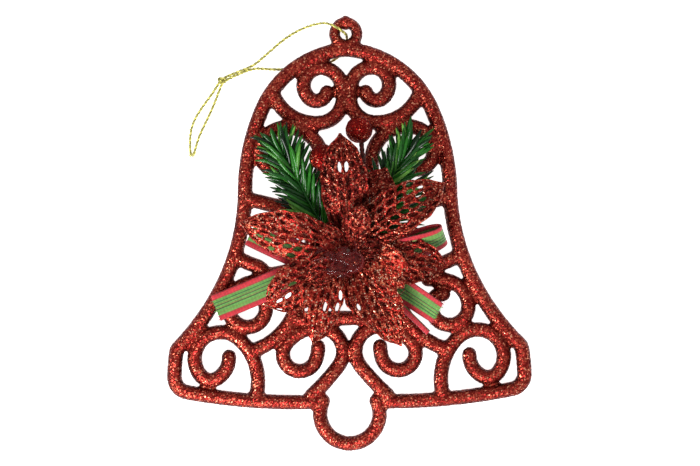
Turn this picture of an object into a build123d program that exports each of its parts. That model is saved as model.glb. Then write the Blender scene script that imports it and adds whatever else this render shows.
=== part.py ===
from build123d import *
import math
import os

# A flat openwork Christmas bell that lies on its back, in millimetres. +Y runs to the
# hanging eyelet, +X to the right and +Z out of the decorated face. The origin is the
# middle of the footprint, on the surface that the ornament lies on.

# ---- driving dimensions -------------------------------------------------------------
height = 150.0            # eyelet tip to the bottom of the clapper ring
bar = 4.7                 # width of every moulded bar
thickness = 4.7           # depth of the moulding, front to back
wire = 1.1                # diameter of the lashing wire round the back of the moulding
wire_slack = 0.1          # air between the lashing wire and a bar
fit = 0.2                 # air left between pieces that lie on one another
cord = 0.8                # diameter of the metallic hanging thread
ribbon_width = 9.5
ribbon_thickness = 0.5
berry = 9.3               # diameter of a glittered foam berry
petal_thickness = 0.8
petal_width = 16.5
stem = 1.2                # diameter of a sprig's stem wire
berry_wire = 0.9          # diameter of a berry's stem wire

# ---- heights worked out from those --------------------------------------------------
back = wire + wire_slack               # the moulding stands on the lashing wires
front = back + thickness
flower = Vector(0, -6)                 # the middle of the flower, seen from the front
ring_centre = Vector(0, -4)            # the moulded ring behind the flower
ring_radius = 9.5
top = height / 2
eyelet_centre = Vector(0, top - 6.4)
eyelet_hole = 2.03
eyelet_bar = 3.7
clapper_centre = Vector(0, -top + 12.6)
clapper_radius = 10.25
cross_bar_y = -29.4                    # the bar across the axis under the flower
cross_bar_reach = 18.7

pad_radius = 10.0
pad_top = front + 2.7
lashing_top = front + wire_slack + wire
ribbon_level = lashing_top + fit       # the ribbon clears the lashings
tail_level = ribbon_level + ribbon_thickness + fit
loop_level = tail_level + ribbon_thickness + fit
loop_depth = 2.8
bow_top = pad_top + 1.6
lower_whorl_z = bow_top + fit
whorl_pitch = petal_thickness + 0.8
upper_whorl_z = lower_whorl_z + whorl_pitch
inner_whorl_z = upper_whorl_z + whorl_pitch
crown_z = inner_whorl_z + petal_thickness
petal_rise = 10.0                      # degrees that the big petals climb outwards
inner_rise = 32.0
pin_radius = 0.6

os.makedirs("parts", exist_ok=True)


def save(name, shape):
    """Writes one sub-part under its own name."""
    export_step(shape, f"parts/{name}.step")


# ---- the moulding -------------------------------------------------------------------
def arcs(start, heading, *legs):
    """A smooth centreline of tangent arcs. A leg is a radius and how far it turns left."""
    edges = []
    tangent = Vector(1, 0).rotate(Axis.Z, heading)
    for radius, turn in legs:
        edge = JernArc(start, tangent, radius, turn)
        start = edge @ 1
        tangent = edge % 1
        edges.append(edge)
    return Wire(edges)


def bead(path):
    """A bar of even width with round ends, drawn leg by leg along a centreline."""
    outlines = [offset(leg, amount=bar / 2, kind=Kind.ARC, side=Side.BOTH) for leg in path.edges()]
    return Sketch() + [make_face(outline.edges()) for outline in outlines]


def ring(centre, radius):
    place = Pos(centre.X, centre.Y)
    return place * (Circle(radius + bar / 2) - Circle(radius - bar / 2))


def rim():
    """Right half of the rim: crown, side, waist and flare, down to the corner."""
    return arcs((0, 63.2), -4, (34.5, -62), (72, -23), (75, 26), (83, 18))


def foot():
    """Rounds the corner and runs back along the bottom to the clapper."""
    return arcs((58.8, -39.0), 316, (2.6, -37), (63, -8), (5.2, -80), (207, -12))


def crown_scroll():
    """Springs from the rim, meets its twin at the axis and curls up under the crown."""
    return arcs((25.2, 48.0), 249, (15.7, -75), (8.6, -92), (58.8, 4), (6.7, -227), (3.7, -120))


def shoulder_scroll():
    """Climbs from the middle ring and curls round beside the shoulder of the rim."""
    return arcs((6.7, 5.0), 78, (77.3, 14), (12.3, -102), (8.6, -80), (6.3, -150))


def side_bow():
    """Ties the rim to the middle ring in one inward bow."""
    return arcs((34.9, 12.2), 196, (210, -3), (22.8, 18), (10.7, 128), (25.7, 22))


def side_strut():
    """Leaves the rim at the waist and bends down to the side scroll."""
    return arcs((37.7, -8.5), 209, (30.3, -12), (4.6, 56))


def side_scroll():
    """Curls under itself below the waist."""
    return arcs((27.5, -16.3), 2, (27.4, -14), (9.0, -79), (6.4, -191), (3.7, -84))


def corner_scroll():
    """Stands on the foot as a post and curls over inside the corner."""
    return arcs((32.2, -56), 105, (20.0, -60), (9.8, -36), (9.1, -138), (4.5, -79), (8.0, -65))


def foot_scroll():
    """Rises from the foot to touch its twin at the axis, then curls back."""
    return arcs((13.1, -56), 138, (77.2, -10), (8.5, -137), (15.9, -40), (5.9, -201), (13.1, -20))


def brace():
    """Runs from the post to the side bow, under the flower."""
    return arcs((32.8, -40.1), 163, (22.1, -68), (34.8, -14))


def clapper():
    """Open ring fused to the foot, in place of a swinging clapper."""
    start = clapper_centre + Vector(clapper_radius, 0).rotate(Axis.Z, 37)
    end = clapper_centre + Vector(clapper_radius, 0).rotate(Axis.Z, 143)
    low = clapper_centre - Vector(0, clapper_radius)
    return Wire(ThreePointArc(start, low, end))


def eyelet():
    """Hanging lug with a small point on top; its hole is cut last."""
    lug = Pos(eyelet_centre.X, eyelet_centre.Y) * Circle(eyelet_hole + eyelet_bar)
    point = make_face(Polyline((-4.4, top - 3.0), (0, top), (4.4, top - 3.0), (0, top - 7), close=True))
    neck = Pos(0, top - 12) * Rectangle(7.6, 6)
    return lug + point + neck


def bell_frame():
    halves = [
        rim(), foot(), crown_scroll(), shoulder_scroll(), side_bow(), side_strut(),
        side_scroll(), corner_scroll(), foot_scroll(), brace(),
    ]
    half = Sketch() + [bead(path) for path in halves]
    flat = half + mirror(half, about=Plane.YZ)
    flat += bead(clapper())
    flat += ring(ring_centre, ring_radius)
    flat += bead(Wire(Line((-cross_bar_reach, cross_bar_y), (cross_bar_reach, cross_bar_y))))
    flat += eyelet()
    flat -= Pos(eyelet_centre.X, eyelet_centre.Y) * Circle(eyelet_hole)
    return Pos(0, 0, back) * extrude(flat, thickness)


def lashing(angle):
    """A closed turn of wire round the bar of the middle ring, in a radial plane."""
    reach = bar / 2 + wire_slack + wire / 2
    rise = thickness / 2 + wire_slack + wire / 2
    corner = wire_slack + wire / 2
    loop = FilletPolyline(
        (-reach, 0, rise), (-reach, 0, -rise), (reach, 0, -rise), (reach, 0, rise),
        radius=corner, close=True,
    )
    turn = sweep(Plane(loop @ 0, z_dir=loop % 0) * Circle(wire / 2), path=loop)
    place = Pos(ring_centre.X, ring_centre.Y, back + thickness / 2) * Rot(0, 0, angle)
    return place * Pos(ring_radius, 0, 0) * turn


# ---- what holds the cluster together ------------------------------------------------
def rod(start, end, diameter):
    line = Line(start, end)
    return sweep(Plane(line @ 0, z_dir=line % 0) * Circle(diameter / 2), path=line)


def glue_pad():
    """Hot-melt pad over the middle ring; stems and lashings are set in it."""
    return Pos(flower.X, flower.Y + 1, front) * extrude(Circle(pad_radius), pad_top - front)


def bow_centre():
    block = extrude(RectangleRounded(16, ribbon_width, 1.5), bow_top - pad_top)
    return Pos(flower.X, flower.Y, pad_top) * block - pin_hole()


def pin_hole():
    return Pos(flower.X, flower.Y, pad_top) * extrude(Circle(pin_radius + fit / 2), height)


def flower_pin():
    low = pad_top - 1.5
    return Pos(flower.X, flower.Y, low) * extrude(Circle(pin_radius), crown_z + 2 - low)


# ---- flower -------------------------------------------------------------------------
def petal(length, width, rise, angle):
    """A pointed leaf of even thickness that climbs outwards from the hub."""
    inner = 1.2
    middle = (inner + length) * 0.52
    side = ThreePointArc((inner, 0), (middle, width / 2), (length, 0))
    other = ThreePointArc((length, 0), (middle, -width / 2), (inner, 0))
    blade = extrude(make_face([side, other]), petal_thickness)
    return Rot(0, 0, angle) * Rot(0, -rise, 0) * blade


def whorl(level, petals, rise, width):
    """One ring of petals, given as pairs of direction in degrees and length."""
    shape = extrude(Circle(3.4), petal_thickness)
    for angle, length in petals:
        shape += petal(length, width, rise, angle)
    return Pos(flower.X, flower.Y, level) * shape - pin_hole()


def flower_crown():
    """Clear domed heart of the flower, over the end of the pin."""
    dome = Sphere(5.2) & Pos(0, 0, 2.6) * Box(12, 12, 5.2)
    return Pos(flower.X, flower.Y, crown_z + fit) * dome


# ---- greenery and berries -----------------------------------------------------------
def sprig(centre, length, width, angle):
    """The space that a moulded sprig's needles fill."""
    level = front + fit
    return Pos(centre[0], centre[1], level) * Rot(0, 0, angle) * extrude(Ellipse(length / 2, width / 2), 3.6)


def ball(x, y):
    return Pos(x, y, front + fit + berry / 2) * Sphere(berry / 2)


# ---- ribbon -------------------------------------------------------------------------
def ribbon_loop(start, end):
    """The space that one flattened loop of the bow fills."""
    run = Vector(*end) - Vector(*start)
    middle = (Vector(*start) + Vector(*end)) / 2 + Vector(0, 0, loop_level + loop_depth / 2)
    side = extrude(SlotOverall(run.length, loop_depth), ribbon_width / 2, both=True)
    return Plane(middle, x_dir=run) * Rot(90, 0, 0) * side


def ribbon_tail(start, end, width, level):
    """One flat length of ribbon, cut square."""
    run = Vector(*end) - Vector(*start)
    middle = (Vector(*start) + Vector(*end)) / 2 + Vector(0, 0, level)
    return Plane(middle, x_dir=run) * extrude(Rectangle(run.length, width), ribbon_thickness)


# ---- hanging thread -----------------------------------------------------------------
# One thread is passed through the eyelet and knotted. Its front half leaves the hole
# over the eyelet and its back half leaves under the crown of the bell; both go through
# the knot and end in a frayed tail.
floor_level = cord / 2 + 0.05
hole_start = (0.0, 68.4, 3.4)
front_route = [
    hole_start, (-0.9, 69.2, 7.3), (-5.9, 72.3, 7.3), (-10.6, 72.1, 3.6), (-16.0, 70.3, 0.9),
    (-21.5, 67.0, floor_level), (-26.6, 62.6, floor_level), (-31.8, 58.2, floor_level),
    (-37.0, 55.9, floor_level), (-43.2, 53.6, floor_level), (-45.9, 49.0, floor_level),
    (-49.8, 44.0, floor_level), (-53.0, 39.0, floor_level), (-54.4, 33.4, floor_level),
    (-54.1, 27.8, floor_level),
]
back_route = [
    hole_start, (0.7, 67.78, floor_level), (-1.0, 62.0, floor_level), (-5.6, 58.6, floor_level),
    (-12.4, 57.9, floor_level), (-19.4, 56.6, floor_level), (-26.4, 56.5, floor_level),
    (-31.6, 56.3, floor_level), (-36.6, 54.9, floor_level), (-42.8, 52.6, floor_level),
    (-44.4, 48.2, floor_level), (-46.6, 42.8, floor_level), (-49.2, 37.6, floor_level),
    (-51.6, 32.6, floor_level), (-52.9, 27.6, floor_level),
]
knot_size = 2.6


def corner_radii(route):
    """The largest tangent arc that each corner of a route has room for."""
    points = [Vector(*p) for p in route]
    radii = []
    for before, here, after in zip(points, points[1:], points[2:]):
        turn = (here - before).get_angle(after - here)
        shorter = min((here - before).length, (after - here).length)
        radii.append(0.45 * shorter / math.tan(math.radians(turn / 2)))
    return radii


def thread(name, route):
    """A tube along straight runs joined by tangent arcs."""
    radii = corner_radii(route)
    path = FilletPolyline(*route, radius=radii)
    tube = sweep(Plane(path @ 0, z_dir=path % 0) * Circle(cord / 2), path=path)
    expected = math.pi * cord**2 / 4 * path.length
    print(name, "radii", [round(r, 1) for r in radii])
    print(name, "length", round(path.length, 1), "volume", round(tube.volume, 3), "of", round(expected, 3))
    return tube


def knot():
    return Pos(-43.0, 53.1, knot_size / 2) * Sphere(knot_size / 2)


# ---- every sub-part -----------------------------------------------------------------
save("bell_frame", bell_frame())
for place, angle in (("top", 90), ("left", 225), ("right", 315)):
    save(f"lashing_{place}", lashing(angle))
save("glue_pad", glue_pad())
save("ribbon_bow_centre", bow_centre())
save("flower_pin", flower_pin())

lower_petals = [(64, 31), (133, 17), (214, 34), (281, 29), (350, 35)]
upper_petals = [(36, 41), (95, 40), (166, 38), (250, 33), (300, 37.6)]
inner_petals = [(72, 17), (144, 17), (216, 18), (312, 21), (0, 18)]
save("flower_whorl_lower", whorl(lower_whorl_z, lower_petals, petal_rise, petal_width))
save("flower_whorl_upper", whorl(upper_whorl_z, upper_petals, petal_rise, petal_width))
save("flower_whorl_inner", whorl(inner_whorl_z, inner_petals, inner_rise, 9.0))
save("flower_crown", flower_crown())

stem_level = front + fit + 1.1
save("pine_sprig_left", sprig((-18.8, 20.5), 37, 13, 120.7))
save("pine_sprig_right", sprig((20.6, 28.0), 28, 15, 52))
save("pine_stem_left", rod((-5.5, 1.0, stem_level), (-12.8, 10.2, stem_level), stem))
save("pine_stem_right", rod((4.6, 0.4, stem_level), (14.0, 19.0, stem_level), stem))

save("berry_top", ball(4.2, 35.2))
save("berry_left", ball(-8.3, 25.9))
berry_level = front + fit + 1.8
save("berry_stem_top", rod((1.6, 2.0, berry_level), (4.1, 32.6, berry_level), berry_wire))
save("berry_stem_left", rod((-2.6, 2.0, berry_level), (-8.0, 23.2, berry_level), berry_wire))

save("ribbon_loop_left", ribbon_loop((-8.0, -10.0), (-35.0, 3.0)))
save("ribbon_loop_right", ribbon_loop((7.0, -9.4), (33.8, -1.0)))
save("ribbon_tail_left", ribbon_tail((-7.6, -9.8), (-45.6, -25.7), ribbon_width, ribbon_level))
save("ribbon_tail_right", ribbon_tail((7.2, -10.2), (32.0, -26.6), ribbon_width, tail_level))
save("ribbon_tail_under", ribbon_tail((6.0, -12.0), (28.2, -34.4), 3.5, ribbon_level))

save("hanging_cord_front", thread("hanging_cord_front", front_route))
save("hanging_cord_back", thread("hanging_cord_back", back_route))
save("cord_knot", knot())
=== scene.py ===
import math

import bmesh
import bpy
import numpy as np
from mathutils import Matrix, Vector, noise


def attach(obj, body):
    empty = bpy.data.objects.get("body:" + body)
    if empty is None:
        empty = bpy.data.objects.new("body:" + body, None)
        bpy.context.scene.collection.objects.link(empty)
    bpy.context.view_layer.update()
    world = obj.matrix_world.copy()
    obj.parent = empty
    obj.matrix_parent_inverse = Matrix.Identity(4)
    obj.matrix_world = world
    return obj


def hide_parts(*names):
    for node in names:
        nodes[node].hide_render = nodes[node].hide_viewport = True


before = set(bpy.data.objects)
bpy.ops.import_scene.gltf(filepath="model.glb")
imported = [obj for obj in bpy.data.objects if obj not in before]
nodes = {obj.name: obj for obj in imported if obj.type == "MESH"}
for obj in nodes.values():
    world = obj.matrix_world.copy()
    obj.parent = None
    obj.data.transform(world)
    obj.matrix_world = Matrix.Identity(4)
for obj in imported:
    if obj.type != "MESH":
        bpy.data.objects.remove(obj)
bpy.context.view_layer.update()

# A glittered openwork bell that lies on its back, front up, with its poinsettia, pine
# sprigs, berries, ribbon bow and hanging thread. Shapes are worked out in millimetres and
# turned into metres where an object is made.

MM = 0.001
SEED = 20261

# ---- heights and places shared with the CAD -----------------------------------------
bar = 4.7
back = 1.2
front = back + bar
flower_x, flower_y = 0.0, -6.0
lower_level, upper_level, inner_level = 10.4, 12.0, 13.6


# ---- small helpers ------------------------------------------------------------------
def srgb(r, g, b, a=1.0):
    """A screen colour, 0 to 255, as Blender's linear numbers."""
    def lin(c):
        c /= 255
        return c / 12.92 if c <= 0.04045 else ((c + 0.055) / 1.055) ** 2.4
    return (lin(r), lin(g), lin(b), a)


def grey(value):
    return (value, value, value, 1.0)


class Batch:
    """Vertices and faces of one piece, in millimetres."""

    def __init__(self):
        self.verts, self.faces, self.uvs, self.tone = [], [], [], []

    def add(self, verts, faces, uvs=None, tone=0.5):
        start = len(self.verts)
        self.verts.extend(tuple(float(c) for c in v) for v in verts)
        self.faces.extend(tuple(start + i for i in f) for f in faces)
        self.uvs.extend(uvs if uvs is not None else [(0.0, 0.0)] * len(verts))
        self.tone.extend([tone] * len(verts))

    def mesh(self, name):
        data = bpy.data.meshes.new(name)
        data.from_pydata([tuple(c * MM for c in v) for v in self.verts], [], self.faces)
        layer = data.uv_layers.new(name="UVMap")
        loops = np.zeros(len(data.loops), np.int32)
        data.loops.foreach_get("vertex_index", loops)
        layer.data.foreach_set("uv", np.array(self.uvs, np.float32)[loops].ravel())
        shade = data.attributes.new("tone", "FLOAT", "POINT")
        shade.data.foreach_set("value", np.array(self.tone, np.float32))
        data.validate()
        return data


def show(name, data):
    """A new object in the scene."""
    obj = bpy.data.objects.new(name, data)
    bpy.context.scene.collection.objects.link(obj)
    return obj


def link(name, batch, material):
    """A batch as a smooth object."""
    data = batch.mesh(name)
    obj = show(name, data)
    data.materials.append(material)
    data.polygons.foreach_set("use_smooth", [True] * len(data.polygons))
    data.update()
    return obj


def settle(obj):
    """Applies an object's modifiers, so that the mesh is the shape that is seen."""
    bpy.context.view_layer.update()
    graph = bpy.context.evaluated_depsgraph_get()
    data = bpy.data.meshes.new_from_object(obj.evaluated_get(graph))
    obj.modifiers.clear()
    obj.data = data
    data.polygons.foreach_set("use_smooth", [True] * len(data.polygons))
    return obj


def grains(obj, amount, seed):
    """Moves each vertex in or out a little, as a coat of glitter stands off a surface."""
    data = obj.data
    n = len(data.vertices)
    co, no = np.zeros(n * 3), np.zeros(n * 3)
    data.vertices.foreach_get("co", co)
    data.vertex_normals.foreach_get("vector", no)
    push = np.random.default_rng(seed).uniform(-amount, amount, (n, 1)) * MM
    data.vertices.foreach_set("co", (co.reshape(-1, 3) + no.reshape(-1, 3) * push).ravel())
    data.polygons.foreach_set("use_smooth", [False] * len(data.polygons))
    data.update()
    return obj


def on_bell(obj, node):
    """Fixes a piece to the bell, in place of a CAD node."""
    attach(obj, "bell")
    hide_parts(node)
    return obj


def blob(batch, detail, centre, size, swell, tone):
    """A ball pushed in and out: swell gives the share at each point of a ball of radius 1."""
    ball = bmesh.new()
    bmesh.ops.create_icosphere(ball, subdivisions=detail, radius=1.0)
    verts = []
    for p in [v.co.copy() for v in ball.verts]:
        share = swell(p)
        verts.append([centre[i] + p[i] * size[i] * share for i in range(3)])
    batch.add(verts, [[v.index for v in f.verts] for f in ball.faces], tone=tone)
    ball.free()


def tangents(p):
    t = np.gradient(p, axis=0)
    return t / np.linalg.norm(t, axis=1)[:, None]


def distances(p):
    """How far along a line each of its points is."""
    return np.concatenate([[0], np.cumsum(np.linalg.norm(np.diff(p, axis=0), axis=1))])


def steady_frames(points):
    """Tangent, side and up of each point of a line, turning as little as they can."""
    p = np.array(points, float)
    t = tangents(p)
    ref = np.array((0.0, 0.0, 1.0)) if abs(t[0][2]) < 0.9 else np.array((1.0, 0.0, 0.0))
    side = np.cross(ref, t[0])
    side /= np.linalg.norm(side)
    sides = [side]
    for a in t[1:]:
        side = side - a * side.dot(a)
        side /= np.linalg.norm(side)
        sides.append(side)
    sides = np.array(sides)
    return p, t, sides, np.cross(t, sides)


def tube(batch, points, radii, sides=8, tone=0.5, flat=1.0):
    """A round or flattened rod along a line, closed by a point at each end."""
    p, t, side, up = steady_frames(points)
    n = len(p)
    radii = np.full(n, radii) if np.isscalar(radii) else np.array(radii)
    verts, uvs = [p[0] - t[0] * radii[0] * 0.5], [(0.5, 0.0)]
    for i in range(n):
        for k in range(sides):
            a = 2 * math.pi * k / sides
            verts.append(p[i] + radii[i] * (math.cos(a) * side[i] + math.sin(a) * flat * up[i]))
            uvs.append((k / sides, i / (n - 1)))
    verts.append(p[-1] + t[-1] * radii[-1] * 0.5)
    uvs.append((0.5, 1.0))
    faces = []
    for k in range(sides):
        j = (k + 1) % sides
        faces.append((0, 1 + j, 1 + k))
        for i in range(n - 1):
            a, b = 1 + i * sides, 1 + (i + 1) * sides
            faces.append((a + k, a + j, b + j, b + k))
        last = 1 + (n - 1) * sides
        faces.append((last + k, last + j, last + sides))
    batch.add(verts, faces, uvs, tone)


def smooth_line(points, count):
    """Points of a smooth curve through a few points (Catmull-Rom)."""
    p = np.array(points, float)
    p = np.vstack([2 * p[0] - p[1], p, 2 * p[-1] - p[-2]])
    out = []
    for s in np.linspace(0, len(p) - 3, count):
        i = min(int(s), len(p) - 4)
        t = s - i
        a, b, c, d = p[i:i + 4]
        out.append(0.5 * (2 * b + (c - a) * t + (2 * a - 5 * b + 4 * c - d) * t**2
                          + (3 * b - a - 3 * c + d) * t**3))
    return np.array(out)


# ---- the camera ---------------------------------------------------------------------
PICTURE_WIDTH = 0.2413     # metres across the picture, at the middle of the moulding
LENS = 180.0
TURN = math.radians(-0.6)
camera_data = bpy.data.cameras.new("camera")
camera_data.lens = LENS
camera_data.clip_start = 0.01
camera = show("camera", camera_data)
distance = PICTURE_WIDTH / camera_data.sensor_width * LENS
off_x, off_y = 0.73 * MM, -0.07 * MM      # from the bell's origin to the picture's middle
camera.location = (off_x * math.cos(TURN) - off_y * math.sin(TURN),
                   off_x * math.sin(TURN) + off_y * math.cos(TURN),
                   distance + 3.0 * MM)
camera.rotation_euler = (0, 0, TURN)
bpy.context.scene.camera = camera


# ---- materials ----------------------------------------------------------------------
class Nodes:
    """A material's node tree, with short names for making and joining nodes."""

    def __init__(self, name):
        self.material = bpy.data.materials.new(name)
        self.material.use_nodes = True
        self.tree = self.material.node_tree
        self.bsdf = self.tree.nodes["Principled BSDF"]

    def make(self, kind, **values):
        node = self.tree.nodes.new("ShaderNode" + kind)
        for key, value in values.items():
            if key[0].isupper():
                node.inputs[key.replace("_", " ")].default_value = value
            else:
                setattr(node, key, value)
        return node

    def join(self, a, b):
        self.tree.links.new(a, b)

    def texture(self, kind, **values):
        """A texture laid out in the object's own coordinates."""
        node = self.make(kind, **values)
        self.join(self.make("TexCoord").outputs["Object"], node.inputs["Vector"])
        return node

    def uv(self):
        parts = self.make("SeparateXYZ")
        self.join(self.make("UVMap").outputs["UV"], parts.inputs[0])
        return parts.outputs["X"], parts.outputs["Y"]

    def ramp(self, value, stops, constant=False):
        node = self.make("ValToRGB")
        ramp = node.color_ramp
        ramp.interpolation = "CONSTANT" if constant else "LINEAR"
        while len(ramp.elements) < len(stops):
            ramp.elements.new(0.5)
        for element, (at, colour) in zip(ramp.elements, stops):
            element.position = at
            element.color = colour
        self.join(value, node.inputs["Fac"])
        return node.outputs["Color"]

    def feed(self, socket, value):
        """Joins an output to a socket, or gives the socket a plain value."""
        if hasattr(value, "default_value"):
            self.join(value, socket)
        else:
            socket.default_value = value

    def multiply(self, a, b):
        """Two colours multiplied."""
        node = self.make("Mix", data_type="RGBA", blend_type="MULTIPLY")
        for place, value in ((0, 1.0), (6, a), (7, b)):
            self.feed(node.inputs[place], value)
        return node.outputs[2]

    def maths(self, operation, a, b=0.0, kind="Math"):
        node = self.make(kind, operation=operation)
        self.feed(node.inputs[0], a)
        self.feed(node.inputs[1], b)
        return node.outputs[0]

    def paint(self, colour):
        self.join(colour, self.bsdf.inputs["Base Color"])

    def bump(self, height, strength, distance):
        node = self.make("Bump", Strength=strength, Distance=distance)
        self.join(height, node.inputs["Height"])
        self.join(node.outputs["Normal"], self.bsdf.inputs["Normal"])

    def attribute(self, name):
        return self.make("Attribute", attribute_name=name, attribute_type="GEOMETRY").outputs["Fac"]

    def set(self, **values):
        for key, value in values.items():
            self.bsdf.inputs[key.replace("_", " ")].default_value = value
        return self


def glitter(name, stops, flake, tilt, metallic=0.92, rough=0.36):
    """Flakes of foil: each cell has its own colour and its own tilt, and the palest cells are painted glints.
    """
    m = Nodes(name)
    fine = m.texture("TexVoronoi", Scale=1 / (flake * MM))
    parts = m.make("SeparateColor")
    m.join(fine.outputs["Color"], parts.inputs["Color"])
    coat = m.ramp(parts.outputs["Red"], stops, constant=True)
    cloud = m.texture("TexNoise", Scale=160.0, Detail=3.0)
    patch = m.ramp(cloud.outputs["Fac"], [(0.3, grey(0.72)), (0.7, grey(1.2))])
    coat = m.multiply(coat, patch)
    # The tone attribute is painted light and shade: this ramp darkens or lightens each flake's colour by it,
    # as on the bell's steep sides and in the petals' holes and veins.
    half_tone = m.maths("MULTIPLY", m.attribute("tone"), 0.5)
    shade = m.ramp(half_tone, [(0.0, (0.07, 0.03, 0.03, 1)), (0.2, (0.42, 0.28, 0.28, 1)),
                               (0.5, (1.1, 1.1, 1.1, 1)), (1.0, (2.1, 2.0, 1.8, 1))])
    m.paint(m.multiply(coat, shade))
    centred = m.maths("SUBTRACT", fine.outputs["Color"], (0.5, 0.5, 0.5), "VectorMath")
    scaled = m.maths("MULTIPLY", centred, (tilt, tilt, tilt), "VectorMath")
    added = m.maths("ADD", m.make("NewGeometry").outputs["Normal"], scaled, "VectorMath")
    level = m.maths("NORMALIZE", added, (0.0, 0.0, 0.0), "VectorMath")
    m.join(level, m.bsdf.inputs["Normal"])
    gloss = m.make("MapRange")
    m.join(parts.outputs["Green"], gloss.inputs["Value"])
    gloss.inputs["To Min"].default_value = rough - 0.12
    gloss.inputs["To Max"].default_value = rough + 0.22
    m.join(gloss.outputs["Result"], m.bsdf.inputs["Roughness"])
    m.set(Metallic=metallic, Specular_IOR_Level=0.5)
    return m.material


# The last stop of each list, pale pink, is painted glints: flakes catching the light, painted into their
# colour.
bell_glitter = glitter("bell_glitter", [
    (0.0, srgb(114, 20, 18)), (0.3, srgb(138, 38, 31)), (0.62, srgb(162, 62, 48)),
    (0.84, srgb(208, 98, 72)), (0.955, srgb(252, 168, 132)),
], 0.4, 0.5)
petal_glitter = glitter("petal_glitter", [
    (0.0, srgb(106, 14, 12)), (0.25, srgb(140, 32, 26)), (0.58, srgb(172, 66, 50)),
    (0.81, srgb(228, 128, 96)), (0.94, srgb(255, 200, 170)),
], 0.4, 0.6)
berry_glitter = glitter("berry_glitter", [
    (0.0, srgb(96, 6, 5)), (0.3, srgb(128, 10, 8)), (0.72, srgb(150, 20, 14)),
    (0.92, srgb(216, 84, 58)), (0.975, srgb(255, 170, 140)),
], 0.32, 0.5)


def pine():
    m = Nodes("pine_green")
    tone = m.attribute("tone")
    green = m.ramp(tone, [(0.0, srgb(6, 34, 8)), (0.45, srgb(18, 76, 18)), (0.8, srgb(44, 118, 32)),
                          (1.0, srgb(112, 170, 72))])
    _, along = m.uv()
    # Painted shade: each needle is darker towards its foot, where the needles crowd at the twig; it turns
    # warmer at its point.
    foot_shade_and_tip = m.ramp(along, [(0.0, grey(0.45)), (0.3, grey(1)), (0.9, grey(1)), (1.0, (1.5, 0.85, 0.6, 1))])
    streak = m.texture("TexNoise", Scale=900.0, Detail=2.0)
    mottle = m.ramp(streak.outputs["Fac"], [(0.3, grey(0.75)), (0.7, grey(1.2))])
    m.paint(m.multiply(m.multiply(green, foot_shade_and_tip), mottle))
    m.bump(streak.outputs["Fac"], 0.25, 0.0002)
    m.set(Roughness=0.24, Specular_IOR_Level=0.24, Coat_Weight=0.12, Coat_Roughness=0.1)
    return m.material


def ribbon():
    """Green ribbon with corded lines and satin red edges; U runs across, V along in mm."""
    m = Nodes("ribbon_weave")
    across, along = m.uv()
    red, deep_red = srgb(206, 26, 44), srgb(150, 14, 28)
    light, dark, straw = srgb(100, 164, 68), srgb(32, 84, 32), srgb(142, 128, 66)
    stripes = m.ramp(across, [
        (0.0, deep_red), (0.03, red), (0.185, deep_red), (0.2, straw), (0.225, light), (0.3, dark),
        (0.335, light), (0.4, straw), (0.425, dark), (0.46, light), (0.53, straw), (0.555, dark),
        (0.59, light), (0.69, straw), (0.71, light), (0.785, straw), (0.81, deep_red), (0.825, red),
        (0.975, deep_red),
    ], constant=True)
    dash = m.ramp(m.maths("SINE", m.maths("MULTIPLY", along, 2 * math.pi / 1.15)),
                  [(0.35, grey(0.9)), (0.65, grey(1.08))])
    stripes = m.multiply(stripes, dash)
    pick = m.maths("SINE", m.maths("MULTIPLY", along, 2 * math.pi / 0.42))
    warp = m.maths("SINE", m.maths("MULTIPLY", across, 2 * math.pi * 30))
    weave = m.maths("ADD", m.maths("MULTIPLY", m.maths("MULTIPLY", pick, warp), 0.5), 0.5)
    shade = m.ramp(weave, [(0.0, grey(0.62)), (1.0, grey(1.12))])
    fuzz = m.texture("TexNoise", Scale=700.0, Detail=4.0)
    worn = m.ramp(fuzz.outputs["Fac"], [(0.3, grey(0.8)), (0.7, grey(1.15))])
    m.paint(m.multiply(m.multiply(stripes, shade), worn))
    m.bump(weave, 0.6, 0.00012)
    m.set(Roughness=0.52, Sheen_Weight=0.35, Sheen_Roughness=0.4)
    return m.material


def metal(name, light, deep, scale, rough, metallic=0.9):
    """Thread or wire whose shade changes along it."""
    m = Nodes(name)
    spots = m.texture("TexNoise", Scale=scale, Detail=3.0)
    colour = m.ramp(spots.outputs["Fac"], [(0.38, deep), (0.6, light)])
    shade = m.ramp(m.attribute("tone"), [(0.0, (0.35, 0.35, 0.3, 1)), (1.0, (1.25, 1.25, 1.2, 1))])
    m.paint(m.multiply(colour, shade))
    m.bump(spots.outputs["Fac"], 0.3, 0.00008)
    m.set(Roughness=rough, Metallic=metallic)
    return m.material


def glue(name, tint, through, rough, alpha=1.0, specular=0.5):
    """Hot-melt: glossy, a little cloudy, and clear or a thin film."""
    m = Nodes(name)
    cloud = m.texture("TexNoise", Scale=260.0, Detail=2.0)
    m.paint(m.ramp(cloud.outputs["Fac"], [(0.35, tint[0]), (0.65, tint[1])]))
    m.bump(cloud.outputs["Fac"], 0.2, 0.0003)
    m.set(Roughness=rough, Transmission_Weight=through, IOR=1.47, Coat_Weight=0.5, Coat_Roughness=0.08,
          Alpha=alpha, Specular_IOR_Level=specular)
    return m.material


pine_green = pine()
ribbon_weave = ribbon()
thread_gold = metal("thread_gold", srgb(236, 229, 132), srgb(184, 176, 84), 2600.0, 0.45, 0.3)
stem_wire = metal("stem_wire", srgb(72, 88, 52), srgb(34, 44, 26), 900.0, 0.55, 0.2)
berry_wire = metal("berry_wire", srgb(104, 20, 16), srgb(44, 8, 6), 900.0, 0.55, 0.2)
lashing_wire = metal("lashing_wire", srgb(176, 172, 166), srgb(112, 106, 100), 700.0, 0.34, 1.0)
clear_glue = glue("clear_glue", (srgb(236, 226, 212), srgb(216, 200, 180)), 0.45, 0.22)
crown_glue = glue("crown_glue", (srgb(118, 30, 30), srgb(64, 6, 8)), 0.0, 0.1, 0.42, 0.25)


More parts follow.
